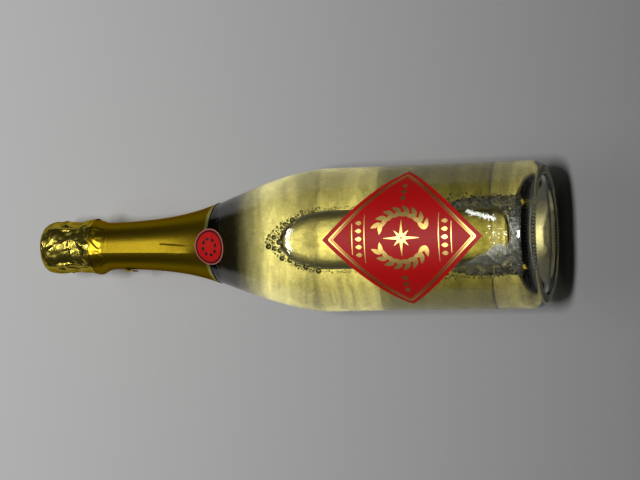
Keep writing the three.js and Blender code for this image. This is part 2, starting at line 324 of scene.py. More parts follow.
# Cork and cage: the cork's head as share of its rise and step in from its widest place, and the cap's two sides
# as radius and drop from its top, counted from the rim where the radius is below 0
CORK_PLAY = 0.1
CORK_BEVEL = 0.4
CORK_EDGE = 0.1
CORK_DISC_PLAY = 0.05
CORK_SEAT = 0.35
CORK_SEAT_RADIUS = 12.4
CORK_CROWN_RADIUS = 7.0
CORK_HEAD = ((0.22, 0.5), (0.45, 0.0), (0.7, 0.6), (0.94, 3.0))
CAP_UPPER = ((0, 0.0), (4.2, 0.05), (4.8, 0.25), (5.4, 0.05), (9.0, 0.2), (-1.2, 0.35), (-0.3, 0.7))
CAP_LOWER = ((-1.4, 0.75), (0, 0.5))
CAP_LIP = 0.1
CAP_EDGE = 0.3
BELT_HEIGHT = node_ends("cage_belt").mean()
TOP_RING_HEIGHT = node_ends("cage_top_ring").mean()
WIRE_RADIUS = 0.45
LEG_ANGLES = [math.radians(45 + 90 * k) for k in range(4)]
LEG_POINTS = (
    (15.5, BELT_HEIGHT), (15.75, 295.5), (15.1, 303.0),
    (15.35, 311.0), (14.6, 318.0), (13.15, TOP_RING_HEIGHT),
)
STRAND_STEPS = 12
LEG_STRAND = 0.3
LEG_PITCH = 3.2
LOOP_STRAND = 0.35
LOOP_PITCH = 2.6
LOOP_WIRE = 0.4
LOOP_STEM = 0.45
LOOP_START = 0.5
LOOP_INSET = 0.45

random = np.random.default_rng(7)


# Meshes

def wrap(angle, radius, height):
    """Points at angles around the axis, counted from the front towards +X."""
    angle, radius, height = np.broadcast_arrays(angle, radius, height)
    return np.stack([radius * np.sin(angle), -radius * np.cos(angle), height], axis=-1)


def make_piece(name, vertices, faces, materials, body, slot, nodes=(), kinds=None, sharp=40):
    """A mesh in millimetres becomes a piece in metres on a body. Kinds are the materials of its faces."""
    mesh = bpy.data.meshes.new(name)
    mesh.from_pydata((np.asarray(vertices, dtype=float) * MM).tolist(), [], faces)
    for material in materials:
        mesh.materials.append(material)
    if kinds is not None:
        mesh.polygons.foreach_set("material_index", np.asarray(kinds, dtype=np.int32))
    mesh.polygons.foreach_set("use_smooth", np.ones(len(mesh.polygons), dtype=bool))
    mesh.set_sharp_from_angle(angle=math.radians(sharp))
    mesh.validate()
    mesh.update()
    piece = bpy.data.objects.new(name, mesh)
    bpy.context.collection.objects.link(piece)
    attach(piece, body)
    if nodes:
        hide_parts(*nodes)


def rings_to_mesh(rings, closed=False):
    """Mesh between rings of points around the axis, listed so that the outer side runs upwards. A ring of one
    point is a pole, and a ring may have a whole multiple of its neighbour's points. With closed, the last ring
    joins the first. Returns vertices, faces and, for each face, the ring that it starts from and its column."""
    rings = [np.atleast_2d(ring) for ring in rings]
    counts = [len(ring) for ring in rings]
    starts = np.concatenate([[0], np.cumsum(counts)])
    pairs = [(k, k + 1) for k in range(len(rings) - 1)]
    if closed:
        pairs.append((len(rings) - 1, 0))
    faces = []
    owners = []
    for low, high in pairs:
        pair = (counts[low], counts[high])
        columns = max(pair) if 1 in pair else math.gcd(*pair)
        steps = [count // columns for count in pair]
        for column in range(columns):
            face = []
            for ring, step, order in ((low, steps[0], 1), (high, steps[1], -1)):
                spots = [(column * step + k) % counts[ring] for k in range(step + 1)]
                face.extend(int(starts[ring]) + spot for spot in spots[::order])
            face = list(dict.fromkeys(face))
            if len(face) > 2:
                faces.append(face)
                owners.append((low, column))
    return np.vstack(rings).tolist(), faces, owners


def ring_piece(name, rings, materials, body, slot, nodes=(), kind_of=None, closed=False, sharp=40):
    """A piece from rings. Where it has several materials, kind_of picks one by a face's ring and column."""
    vertices, faces, owners = rings_to_mesh(rings, closed)
    kinds = [kind_of(*owner) for owner in owners] if kind_of else None
    make_piece(name, vertices, faces, materials, body, slot, nodes, kinds, sharp)


def ring_middle(ring):
    return ring.mean(axis=0)[None]


def close_ends(rings):
    """Rings with a pole before the first and after the last."""
    return [ring_middle(rings[0])] + rings + [ring_middle(rings[-1])]


def spin(profile, angles):
    """Rings of a profile of radius and height around the axis."""
    rings = []
    for radius, height in profile:
        rings.append(wrap(angles, radius, height) if radius > 0 else np.array([[0.0, 0.0, height]]))
    return rings


def even_angles(count):
    return np.arange(count) * TURN / count


def bezier(start, start_handle, end_handle, end, steps):
    share = np.linspace(0, 1, steps + 1)[:, None]
    rest = 1 - share
    start, start_handle, end_handle, end = map(np.asarray, (start, start_handle, end_handle, end))
    return (rest ** 3 * start + 3 * rest ** 2 * share * start_handle
            + 3 * rest * share ** 2 * end_handle + share ** 3 * end)


def smooth_line(points, steps):
    """Curve without corners through a few points."""
    points = np.asarray(points, dtype=float)
    slopes = np.gradient(points, axis=0) / 3
    runs = [points[:1]]
    for k in range(len(points) - 1):
        here, after = points[k:k + 2]
        runs.append(bezier(here, here + slopes[k], after - slopes[k + 1], after, steps)[1:])
    return np.vstack(runs)


def ease(value, low, high):
    share = np.clip((value - low) / (high - low), 0, 1)
    return share * share * (3 - 2 * share)


def quarter(start, end, leaves_upright, steps):
    """Quarter of an ellipse between two points, leaving the first one upright or level."""
    corner = np.array([start[0], end[1]] if leaves_upright else [end[0], start[1]])
    turn = np.linspace(0, math.pi / 2, steps + 1)[:, None]
    start = np.asarray(start) - corner
    end = np.asarray(end) - corner
    return corner + start * (1 - np.sin(turn)) + end * (1 - np.cos(turn))


def tube(path, radius, sides, closed=False):
    """Vertices and faces of a round tube along a line of points."""
    path = np.asarray(path, dtype=float)
    if closed:
        along = np.roll(path, -1, axis=0) - np.roll(path, 1, axis=0)
    else:
        along = np.gradient(path, axis=0)
    along /= np.linalg.norm(along, axis=1)[:, None]
    turn = even_angles(sides)[:, None]
    side = np.cross(along[0], [0.3, 0.5, 0.8])
    rings = []
    for spot, ahead in zip(path, along):
        side = side - ahead * side.dot(ahead)
        side /= np.linalg.norm(side)
        over = np.cross(ahead, side)
        rings.append(spot + radius * (np.cos(turn) * side + np.sin(turn) * over))
    if not closed:
        rings = [path[:1]] + rings + [path[-1:]]
    return rings_to_mesh(rings, closed)[:2]


def join(parts):
    """One list of vertices and faces from several."""
    vertices = []
    faces = []
    for more_vertices, more_faces in parts:
        base = len(vertices)
        vertices.extend(more_vertices)
        faces.extend([[base + index for index in face] for face in more_faces])
    return vertices, faces


# Profiles that several pieces share

def shoulder_side(start_radius, turn, end, steps):
    start = np.array([start_radius, SHOULDER_START])
    turn = np.asarray(turn)
    end = np.asarray(end)
    slope = np.array([-SHOULDER_SLOPE, 1]) / SLOPE_LENGTH
    lower_span = turn[1] - start[1]
    upper_span = end[1] - turn[1]
    lower = bezier(start, start + [0, lower_span * SHOULDER_FULLNESS],
                   turn - slope * lower_span * SHOULDER_RUN, turn, steps)
    upper = bezier(turn, turn + slope * upper_span * NECK_RUN,
                   end - [0, upper_span * NECK_REACH], end, steps)
    return np.vstack([lower, upper[1:]])


def inner_floor():
    trough = np.array([FOOT_INNER - WALL / 2, FLOOR_THICKNESS])
    crown = np.array([0.0, PUNT_DEPTH + PUNT_THICKNESS])
    flank = [trough[0] * PUNT_FLANK, trough[1] + (crown[1] - trough[1]) * PUNT_FOOT]
    rise = bezier(crown, [trough[0] * PUNT_CROWN, crown[1]], flank, trough, 24)
    heel = quarter(trough, (BODY_RADIUS - WALL, trough[1] + INNER_HEEL_HEIGHT), False, 12)
    return np.vstack([rise, heel[1:]])


def inner_wall():
    """Hollow of the glass from the middle of the floor up to the cork, with rows along the straight body."""
    radius = BODY_RADIUS - WALL
    turn = np.array(SHOULDER_TURN) - WALL * np.array([1, SHOULDER_SLOPE]) / SLOPE_LENGTH
    floor = inner_floor()
    heights = np.linspace(floor[-1, 1], SHOULDER_START, 40)[1:-1]
    body = np.stack([np.full_like(heights, radius), heights], axis=1)
    return np.vstack([floor, body, shoulder_side(radius, turn, (BORE_RADIUS, CORK_BOTTOM), 80)])


OUTER_SIDE = shoulder_side(BODY_RADIUS, SHOULDER_TURN, (NECK_RADIUS, RING_BOTTOM), 60)
INNER_WALL = inner_wall()
FLOOR_EDGE = int(np.argmin(INNER_WALL[:, 1]))
LEG_LINE = smooth_line(LEG_POINTS, 8)


def outer_radius(height):
    return np.interp(height, OUTER_SIDE[:, 1], OUTER_SIDE[:, 0])


def inner_radius(height):
    """Radius of the hollow at a height, from its floor's edge upwards."""
    return np.interp(height, INNER_WALL[FLOOR_EDGE:, 1], INNER_WALL[FLOOR_EDGE:, 0])


def leg_radius(height):
    """Distance of the cage's legs from the axis."""
    return np.interp(height, LEG_LINE[:, 1], LEG_LINE[:, 0])


def foil_radius(height):
    """Outside of the foil where it lies close on the neck."""
    return outer_radius(height) + FOIL_LIFT + FOIL_THICKNESS


# Nodes of materials

def feed(socket, value):
    """Gives an input a number or colour, or links another node's output to it."""
    if isinstance(value, bpy.types.NodeSocket):
        socket.id_data.links.new(value, socket)
    else:
        socket.default_value = (*value, 1) if socket.type == "RGBA" else value


def feed_named(node, inputs):
    for name, value in inputs.items():
        feed(node.inputs[name.replace("_", " ")], value)


def add_node(tree, kind, *values, **named):
    """A shader node of a kind, its first inputs fed in order and others by name."""
    made = tree.nodes.new("ShaderNode" + kind)
    for socket, value in zip(made.inputs, values):
        feed(socket, value)
    feed_named(made, named)
    return made


def calculate(tree, operation, *values):
    """Output of an operation, such as SUBTRACT, on numbers or outputs."""
    made = add_node(tree, "Math", *values)
    made.operation = operation
    return made.outputs[0]


def object_place(tree):
    """Output with a point's place on the object, in metres."""
    return add_node(tree, "TexCoord").outputs["Object"]


def along_axis(tree, axis):
    return add_node(tree, "SeparateXYZ", object_place(tree)).outputs[axis]


def spread(tree, value, start, end, low, high):
    """Output with a value's range from start to end spread from low to high."""
    return add_node(tree, "MapRange", value, start, end, low, high).outputs[0]


def colour_ramp(tree, value, stops):
    """Output with a colour blended between stops of a value and its colour."""
    ramp = add_node(tree, "ValToRGB", value)
    marks = ramp.color_ramp.elements
    while len(marks) < len(stops):
        marks.new(0.5)
    for mark, (place, colour) in zip(marks, stops):
        mark.position = place
        mark.color = (*colour, 1)
    return ramp.outputs["Color"]


def place_ramp(tree, axis, stops, colour=(1, 1, 1), middle=0.0):
    """Levels of a colour along one axis, blended between stops of distance from a middle and level."""
    away = calculate(tree, "ABSOLUTE", calculate(tree, "SUBTRACT", along_axis(tree, axis), middle * MM))
    share = spread(tree, away, 0.0, BOTTLE_HEIGHT * MM, 0.0, 1.0)
    marks = [(distance / BOTTLE_HEIGHT, [level * part for part in colour]) for distance, level in stops]
    return colour_ramp(tree, share, marks)


def vary_colour(tree, shader, value, dark, light, low=0.3, high=0.7):
    feed(shader.inputs["Base Color"], colour_ramp(tree, value, [(low, dark), (high, light)]))


def noise_bump(tree, shader, scale, strength, distance, detail=4.0):
    """Fine bumps, with their distance in metres. Returns the output of the noise that makes them."""
    noise = add_node(tree, "TexNoise", object_place(tree), Scale=scale, Detail=detail).outputs["Fac"]
    bump = add_node(tree, "Bump", Strength=strength, Distance=distance, Height=noise)
    feed(shader.inputs["Normal"], bump.outputs["Normal"])
    return noise


def mix_surface(tree, share, first, second):
    """The material is the first shader with a share of the second."""
    mix = add_node(tree, "MixShader", share, first.outputs[0], second.outputs[0])
    feed(tree.nodes["Material Output"].inputs["Surface"], mix.outputs[0])


def let_lamps_through(tree, shader):
    """Lamps shine through, so what lies behind is lit. Returns the input that tints their light."""
    clear = add_node(tree, "BsdfTransparent")
    rays = add_node(tree, "LightPath").outputs
    mix_surface(tree, calculate(tree, "MAXIMUM", rays["Is Shadow Ray"], rays["Is Diffuse Ray"]), shader, clear)
    return clear.inputs["Color"]


# Materials

def new_material(name, **inputs):
    """A material with its node tree and its shader."""
    material = bpy.data.materials.new(name)
    material.use_nodes = True
    tree = material.node_tree
    shader = tree.nodes["Principled BSDF"]
    feed_named(shader, inputs)
    return material, tree, shader


def clear_material(name, colour, ior):
    """A clear material with its node tree, its shader and the input that tints the lamps' light."""
    material, tree, shader = new_material(name, Base_Color=colour, Roughness=0.0, IOR=ior)
    feed(shader.inputs["Transmission Weight"], 1.0)
    return material, tree, shader, let_lamps_through(tree, shader)


def rippled_glass(name):
    material, tree, shader, tint = clear_material(name, GLASS_COLOUR, GLASS_IOR)
    noise_bump(tree, shader, scale=350.0, strength=0.08, distance=0.0005, detail=2.0)
    return material, tree, shader, tint


def side_glass():
    """Clear glass of the sides, with painted shade next to the foil, where the foil shadows the neck. Round
    glass gathers the lamps' light along the middle, so its sides pass less of it."""
    material, tree, shader, tint = rippled_glass("bottle_glass")
    # Painted shade: the glass colour darkens towards the foil's edge
    feed(shader.inputs["Base Color"], place_ramp(tree, "Z", NECK_SHADE, GLASS_COLOUR))
    along = place_ramp(tree, "Z", LAMPS_ALONG)
    across = place_ramp(tree, "X", LAMPS_ACROSS, middle=LAMPS_MIDDLE)
    feed(tint, calculate(tree, "MULTIPLY", along, across))
    return material


def foot_glass(name, **inputs):
    """The same glass at the foot, whose thick curves bend nearly all of the lamps' light away."""
    material, tree, shader, tint = rippled_glass(name)
    feed(tint, (FOOT_PASSES,) * 3)
    feed_named(shader, inputs)
    return material


def wine_material():
    """Straw-gold wine. The filled bottle is a lens that gathers the lamps' light, in patches, and the same
    patches are painted into the wine's colour as painted light and shade of those caustics.
    """
    material, tree, shader, tint = clear_material("wine", (1, 1, 1), WINE_IOR)
    stretched = add_node(tree, "Mapping", object_place(tree), Scale=(1.5, 1, 1)).outputs[0]
    noise = add_node(tree, "TexNoise", stretched, Scale=260.0, Detail=5.0, Distortion=1.5).outputs["Fac"]
    feed(tint, spread(tree, noise, 0.32, 0.68, 1.6, 3.6))
    # Painted light and shade: the wine's colour follows the same patches as the gathered lamp light
    vary_colour(tree, shader, noise, (0.82, 0.82, 0.78), (1, 1, 0.97), 0.4, 0.6)
    volume = add_node(tree, "VolumeAbsorption", (0.858, 0.76, 0.0), 11.5)
    feed(tree.nodes["Material Output"].inputs["Volume"], volume.outputs[0])
    return material


def gas_material(name, colour, passes):
    """Gas in the wine. Each of its faces passes a share of the lamps' light, above 1 where it gathers it."""
    material, tree, shader, tint = clear_material(name, colour, 1 / WINE_IOR)
    feed(tint, (passes,) * 3)
    return material


def froth_material():
    """Foam of fine bubbles: pale cell walls, with the wine showing through between them."""
    material, tree, shader = new_material("froth", Roughness=0.5)
    place = object_place(tree)
    cells = add_node(tree, "TexVoronoi", place, Scale=600.0).outputs["Distance"]
    patches = add_node(tree, "TexNoise", place, Scale=260.0, Detail=3.0).outputs["Fac"]
    vary_colour(tree, shader, cells, (0.01, 0.011, 0.008), (0.036, 0.037, 0.029), 0.0, 0.7)
    mix_surface(tree, spread(tree, patches, 0.35, 0.6, 0.25, 0.9), add_node(tree, "BsdfTransparent"), shader)
    return material


def foil_material(name, dark, light, roughness):
    """Lacquered metal foil, which turns brown where it is seen at a low angle."""
    material, tree, shader = new_material(name, Metallic=1.0, Specular_Tint=FOIL_BROWN, Roughness=roughness)
    noise = noise_bump(tree, shader, scale=900.0, strength=0.12, distance=0.0002)
    vary_colour(tree, shader, noise, dark, light)
    return material


def paper_material(name, dark, light, roughness, coat, passes=0.0):
    """Paper or lacquer. With passes, each face of thin paper lets this share of the lamps' light through."""
    material, tree, shader = new_material(name, Roughness=roughness, Coat_Weight=coat)
    feed(shader.inputs["Specular IOR Level"], PAPER_SPECULAR)
    noise = noise_bump(tree, shader, scale=1500.0, strength=0.1, distance=0.0001)
    vary_colour(tree, shader, noise, dark, light)
    if passes:
        feed(let_lamps_through(tree, shader), (passes,) * 3)
    return material


def cork_material(name, dark, light, scale):
    material, tree, shader = new_material(name, Roughness=0.9)
    noise = noise_bump(tree, shader, scale, strength=0.6, distance=0.0006, detail=8.0)
    vary_colour(tree, shader, noise, dark, light, 0.35, 0.65)
    return material


def wire_material():
    material, tree, shader = new_material("cage_wire", Metallic=1.0, Roughness=0.32)
    noise = noise_bump(tree, shader, scale=2500.0, strength=0.15, distance=0.0001)
    vary_colour(tree, shader, noise, (0.45, 0.45, 0.43), (0.66, 0.66, 0.63))
    return material


def floor_material():
    """Grey floor with a painted light falloff: paler towards the neck, darker towards the foot. It shows only
    its front and stops no lamp, so that views from behind it see the part, lit."""
    material, tree, shader = new_material("floor_grey", Roughness=0.9, Specular_IOR_Level=0.1)
    # Painted light falloff: the floor's grey darkens towards the foot
    feed(shader.inputs["Base Color"], spread(tree, along_axis(tree, "Z"), *FLOOR_ENDS, *FLOOR_FALLOFF_GREYS))
    behind = add_node(tree, "NewGeometry").outputs["Backfacing"]
    lamp = add_node(tree, "LightPath").outputs["Is Shadow Ray"]
    mix_surface(tree, calculate(tree, "MAXIMUM", behind, lamp), shader, add_node(tree, "BsdfTransparent"))
    return material


GLASS = side_glass()
GLASS_BASE = foot_glass("bottle_glass_base")
# Partly painted light: the ridges of the foot ring look lit from within the glass
GLASS_RING = foot_glass("bottle_glass_ring", Base_Color=FROST_AND_GLOW, Roughness=0.3, Transmission_Weight=0.8)
WINE = wine_material()
FROTH = froth_material()
# Painted highlights: white flecks that stand for the lamps' reflection over the pocket
FLECK = paper_material("painted_glint_flecks", (0.78, 0.8, 0.78), (0.88, 0.9, 0.88), 0.3, 0.5)
POCKET_GAS = gas_material("pocket_gas", (1, 1, 1), 1.2)
# Painted shade: the bubbles' gas is tinted grey so that the raft looks shaded
SHADED_BUBBLE_GAS = gas_material("bubble_gas_shaded", (0.5, 0.5, 0.46), 0.5)
FOIL = foil_material("gold_foil", (0.28, 0.19, 0.008), (0.34, 0.235, 0.013), 0.36)
# Painted light: the foil over the cork and its disc is a paler copy of the same gold foil, lit brighter than
# the neck's
LIT_FOIL_HOOD = foil_material("gold_foil_hood_lit", (0.58, 0.46, 0.07), (0.68, 0.55, 0.11), 0.26)
# Painted shade: the tear tab is a darker copy of the gold foil, as seen from its shaded side
SHADED_FOIL_TAB = foil_material("gold_foil_tab_shaded", (0.1, 0.065, 0.006), (0.14, 0.09, 0.008), 0.42)
FOIL_PALE = foil_material("gold_foil_edge", (0.55, 0.52, 0.16), (0.62, 0.58, 0.2), 0.38)
FOIL_INSIDE = paper_material("foil_inside", (0.01, 0.011, 0.014), (0.016, 0.017, 0.02), 0.6, 0.0)
LABEL_RED = paper_material("label_red", (0.34, 0.002, 0.002), (0.38, 0.004, 0.003), 0.5, 0.0, 0.72)
LABEL_BACKING = paper_material("label_backing", (0.2, 0.2, 0.125), (0.24, 0.24, 0.15), 0.8, 0.0, 0.72)
LABEL_GOLD = foil_material("label_gold", (0.6, 0.42, 0.12), (0.68, 0.48, 0.15), 0.38)
SEAL_RED = paper_material("seal_red", (0.37, 0.003, 0.002), (0.41, 0.005, 0.004), 0.5, 0.0)
SEAL_BLACK = paper_material("seal_black", (0.006, 0.006, 0.007), (0.012, 0.012, 0.013), 0.4, 0.2)
SEAL_PALE = paper_material("seal_pale", (0.3, 0.16, 0.13), (0.36, 0.2, 0.16), 0.5, 0.2)
BACK_PAPER = paper_material("back_paper", (0.6, 0.58, 0.46), (0.68, 0.66, 0.54), 0.75, 0.0)
CORK = cork_material("agglomerate_cork", (0.24, 0.13, 0.06), (0.58, 0.39, 0.22), 500.0)
CORK_FINE = cork_material("natural_cork", (0.36, 0.22, 0.11), (0.62, 0.43, 0.26), 260.0)
WIRE = wire_material()
CAP_GOLD = foil_material("cap_lacquer", (0.5, 0.36, 0.05), (0.58, 0.42, 0.07), 0.28)


# Glass and wine

def foot_profile():
    """Outside of the glass from the middle of the punt around the foot ring to the top of the heel."""
    foot_start = (FOOT_INNER, FOOT_ROUNDING)
    punt = bezier((0, PUNT_DEPTH), (FOOT_INNER * PUNT_CROWN, PUNT_DEPTH),
                  (FOOT_INNER * PUNT_FLANK, PUNT_DEPTH * PUNT_FOOT), foot_start, 24)
    foot = quarter(foot_start, (FOOT_INNER + FOOT_ROUNDING, 0), True, 5)
    heel = quarter((FOOT_OUTER, 0), (BODY_RADIUS, HEEL_HEIGHT), False, 14)
    return np.vstack([punt, foot[1:], heel])


def neck_profile():
    """Outside of the glass from the start of the shoulder to the lip, and its rounding into the bore."""
    lip_bottom = BOTTLE_HEIGHT - LIP_HEIGHT
    lip_inside = (BORE_RADIUS, BOTTLE_HEIGHT - LIP_ROUNDING)
    bevel = (RING_TOP - RING_BOTTOM) / 4
    return np.vstack([
        OUTER_SIDE,
        quarter((NECK_RADIUS, RING_BOTTOM), (RING_RADIUS, RING_BOTTOM + bevel), False, 4)[1:],
        quarter((RING_RADIUS, RING_TOP - bevel), (NECK_RADIUS, RING_TOP), True, 4),
        [(NECK_RADIUS, lip_bottom)],
        quarter((LIP_RADIUS, lip_bottom + LIP_ROUNDING), (LIP_RADIUS - LIP_ROUNDING, BOTTLE_HEIGHT), True, 6),
        quarter((BORE_RADIUS + LIP_ROUNDING, BOTTLE_HEIGHT), lip_inside, False, 5),
    ])


def knurled_rings():
    """Rings of the foot, with radial bars pressed into the foot ring."""
    angles = even_angles(KNURL_COUNT * KNURL_COLUMNS)
    bars = (0.5 - 0.5 * np.cos(KNURL_COUNT * angles)) ** 2
    rings = []
    for radius, height in foot_profile():
        pressed = ease(radius, FOOT_INNER, FOOT_INNER + FOOT_ROUNDING)
        pressed *= 1 - ease(radius - FOOT_OUTER, *KNURL_FADE)
        if pressed > 0:
            rings.append(wrap(angles, radius, height + KNURL_DEPTH * pressed * bars))
        else:
            rings.extend(spin([(radius, height)], angles[::2]))
    return rings


def build_glass():
    """Glass in one piece, frosted on the ridges between the bars of the foot ring, whose pale greenish colour
    there is partly frosting and partly painted light carried through the thick foot.
    """
    foot = knurled_rings()
    rest = np.vstack([neck_profile(), INNER_WALL[::-1]])
    rings = foot + spin(rest, even_angles(KNURL_COUNT * KNURL_COLUMNS // 2))
    sides = range(len(foot) - 1, len(rings) - len(inner_floor()))
    barred = [len(ring) == KNURL_COUNT * KNURL_COLUMNS for ring in foot]

    def kind_of(ring, column):
        if ring in sides:
            return 0
        ridge = ring < len(foot) and barred[ring] and barred[ring + 1]
        return 2 if ridge and column % KNURL_COLUMNS in (0, KNURL_COLUMNS - 1) else 1

    ring_piece("glass_body", rings, [GLASS, GLASS_BASE, GLASS_RING], "bottle", "bottle_glass",
               ["glass_bottle"], kind_of, sharp=70)


def build_wine():
    """Filling of the whole hollow. It reaches a little into the glass, at its sides, its lower edge and
    the middle of its floor, so that no air shows between them."""
    profile = INNER_WALL.copy()
    profile[1:, 0] += WINE_OVERLAP
    sunk = profile[:, 1] < FLOOR_THICKNESS + INNER_HEEL_HEIGHT
    sunk[0] = True
    profile[sunk, 1] -= WINE_OVERLAP
    profile[-1, 1] = CORK_BOTTOM - WINE_GAP
    rings = spin(np.vstack([profile, (0, profile[-1, 1])]), even_angles(192))
    ring_piece("wine_filling", rings, [WINE], "bottle", "wine", ["wine"])


# Gas pocket and bubbles

def pocket_edge(height):
    """Angle from the front at which the pocket ends, narrowing to 0 at its two ends."""
    foot_share = (POCKET_FOOT[0] - height) / (POCKET_FOOT[0] - POCKET_FOOT[1])
    tip_share = (height - POCKET_TIP[0]) / (POCKET_TIP[1] - POCKET_TIP[0])
    share = min(max(foot_share, tip_share, 0), 1)
    return POCKET_ANGLE * math.sqrt(1 - share ** 2)


def pocket_room(angle, height):
    """Room between the wine's flat surface and the wall."""
    plane = (inner_radius(height) - POCKET_RIM) * math.cos(pocket_edge(height))
    return inner_radius(height) - plane / np.cos(angle)


def rounded(distance, radius):
    """Quarter circle that starts upright at 0 and ends level, from 0 to 1."""
    return np.sqrt(1 - (1 - np.clip(distance / radius, 0, 1)) ** 2)


def build_pocket():
    """Gas under the glass. It follows the wall, lies flat on the wine, and the wine climbs at its edge."""
    share = 0.5 - 0.5 * np.cos(np.linspace(0, math.pi, 150))
    rings = []
    for height in POCKET_FOOT[1] + (POCKET_TIP[1] - POCKET_FOOT[1]) * share:
        angles = pocket_edge(height) * np.sin(np.linspace(-math.pi / 2, math.pi / 2, 77))
        room = pocket_room(angles, height)
        inside = np.maximum(room - POCKET_RIM, 0) / POCKET_STEEPNESS
        wall = inner_radius(height) - POCKET_FILM
        upper = wall - (POCKET_RIM - POCKET_NOSE) * (1 - rounded(inside, POCKET_RIM - POCKET_NOSE))
        lower = wall - room + POCKET_NOSE * (1 - rounded(inside, POCKET_NOSE))
        rings.append(np.vstack([wrap(angles, upper, height), wrap(angles, lower, height)[-2:0:-1]]))
    rings = [ring_middle(rings[0])] + rings[1:-1] + [ring_middle(rings[-1])]
    ring_piece("gas_pocket", rings, [POCKET_GAS], "bottle", "wine", sharp=60)


def ball(centre, radius):
    tilt = np.linspace(-math.pi / 2, math.pi / 2, BUBBLE_SIDES // 2 + 2)
    profile = np.stack([radius * np.cos(tilt), radius * np.sin(tilt)], axis=1)
    profile[[0, -1], 0] = 0
    vertices, faces, owners = rings_to_mesh(spin(profile, even_angles(BUBBLE_SIDES)))
    return (np.asarray(vertices) + centre).tolist(), faces


class Froth:
    """Bubbles that rest against the inside of the glass and don't touch each other."""

    def __init__(self):
        self.centres = np.zeros((0, 3))
        self.radii = np.zeros(0)

    def try_bubble(self, angle, height, radius):
        wall = inner_radius(height)
        if abs(angle) < pocket_edge(height) + BUBBLE_INSET * radius / wall:
            return
        centre = wrap(angle, wall - radius - BUBBLE_FILM, height)
        apart = np.linalg.norm(self.centres - centre, axis=1) - self.radii
        if len(apart) and apart.min() < radius + BUBBLE_GAP:
            return
        self.centres = np.vstack([self.centres, centre])
        self.radii = np.append(self.radii, radius)

    def fill(self, tries, heights, radii, pick_angle, *reach):
        """Tries spots between two heights, at angles that a function picks for a height."""
        for _ in range(tries):
            height = random.uniform(*heights)
            angle = pick_angle(height, *reach)
            self.try_bubble(angle, height, random.uniform(*radii))


def angle_in_raft(height):
    """Any angle in the raft of bubbles around the pocket's tip."""
    share = (height - RAFT_START) / (RAFT_TIP - RAFT_START)
    edge = RAFT_ANGLE * (1 - share ** 2) ** RAFT_FULLNESS
    return random.uniform(-edge, edge)


def angle_at_edge(height, low, high):
    """Any angle beside the pocket, on either side."""
    angle = random.uniform(low, high) + pocket_edge(height)
    return angle * random.choice([-1, 1])


def build_bubbles():
    froth = Froth()
    for tries, radii in RAFT_BUBBLES:
        froth.fill(tries, (RAFT_START, RAFT_TIP), radii, angle_in_raft)
    for tries, heights, angles, radii in EDGE_BUBBLES:
        froth.fill(tries, heights, radii, angle_at_edge, *angles)
    froth.fill(*HEEL_BUBBLES, lambda height: random.uniform(-FROTH_ANGLE, FROTH_ANGLE))
    parts = [ball(centre, radius) for centre, radius in zip(froth.centres, froth.radii)]
    make_piece("bubbles", *join(parts), [SHADED_BUBBLE_GAS], "bottle", "wine")


def build_froth():
    """Foam along both edges of the pocket near the foot, closing below its end."""
    parts = []
    for side in (-1, 1):
        rings = []
        for height in np.linspace(FROTH_BOTTOM, FROTH_TOP, 60):
            edge = pocket_edge(height)
            width = (FROTH_ANGLE - edge) * (1 - ease(height, FROTH_NARROWS * FROTH_TOP, FROTH_TOP))
            outer = edge + width + FROTH_OVERLAP
            if side < 0:
                edge = min(edge, np.interp(height, FROTH_SPREAD, (FROTH_SPREAD_ANGLE, POCKET_ANGLE)))
            edge += random.uniform(-FROTH_FRAY, FROTH_FRAY)
            angles = side * np.linspace(edge, outer + random.uniform(0, FROTH_FRAY), 20)[::side]
            wall = inner_radius(height) - FROTH_DEPTH
            upper = wrap(angles, wall + FROTH_THICKNESS, height)
            rings.append(np.vstack([upper, wrap(angles, wall, height)[::-1]]))
        parts.append(rings_to_mesh(close_ends(rings))[:2])
    make_piece("froth_layer", *join(parts), [FROTH], "bottle", "wine")


def build_glint_flecks():
    """White flecks on the inside of the glass over the pocket, shaped as foam: a painted highlight streak and
    painted glints.
    """
    share = np.linspace(0, 1, STREAK_COUNT)
    streak = np.outer(1 - share, STREAK_START) + np.outer(share, STREAK_END)
    streak += random.normal(0, 1, (STREAK_COUNT, 2)) * STREAK_SPREAD
    low, high = ((side * FLECK_ANGLE, height) for side, height in zip((-1, 1), FLECK_HEIGHTS))
    field = random.uniform(low, high, (FLECK_COUNT, 2))
    parts = []
    for angle, height in np.vstack([streak, field]):
        radius = random.uniform(*FLECK_RADII)
        parts.append(ball(wrap(angle, inner_radius(height) - FLECK_FILM - radius, height), radius))
    make_piece("painted_glint_flecks", *join(parts), [FLECK], "bottle", "wine")


# Foil

class Crumple:
    """Facets with sharp creases around the axis: triangles between scattered spots of random height."""

    def __init__(self, spacing):
        self.period = TURN * CRUMPLE_RADIUS
        span = CRUMPLE_TOP - CRUMPLE_BOTTOM
        around = round(self.period / spacing)
        along = round(span / spacing)
        spots = []
        for column in range(around):
            for row in range(-1, along + 2):
                shift = random.uniform(-CREASE_SHIFT, CREASE_SHIFT, 2)
                height = CRUMPLE_BOTTOM + (row + shift[1]) * span / along
                spots.append(((column + shift[0]) * self.period / around, height))
        rise = random.uniform(-1, 1, len(spots))
        copies = np.vstack([np.array(spots) + [turn * self.period, 0] for turn in (-1, 0, 1)])
        result = delaunay_2d_cdt([Vector(spot) for spot in copies], [], [], 0, 1e-6)
        source = [owners[0] for owners in result[3]]
        corners = [Vector((*copies[index], rise[index % len(rise)])) for index in source]
        self.facets = BVHTree.FromPolygons(corners, result[2])

    def at(self, angle, height):
        """Rise between -1 and 1 at angles around the axis and a height."""
        arcs = (angle / TURN % 1) * self.period
        down = Vector((0, 0, -1))
        return np.array([self.facets.ray_cast(Vector((arc, height, 2)), down)[0].z for arc in arcs])


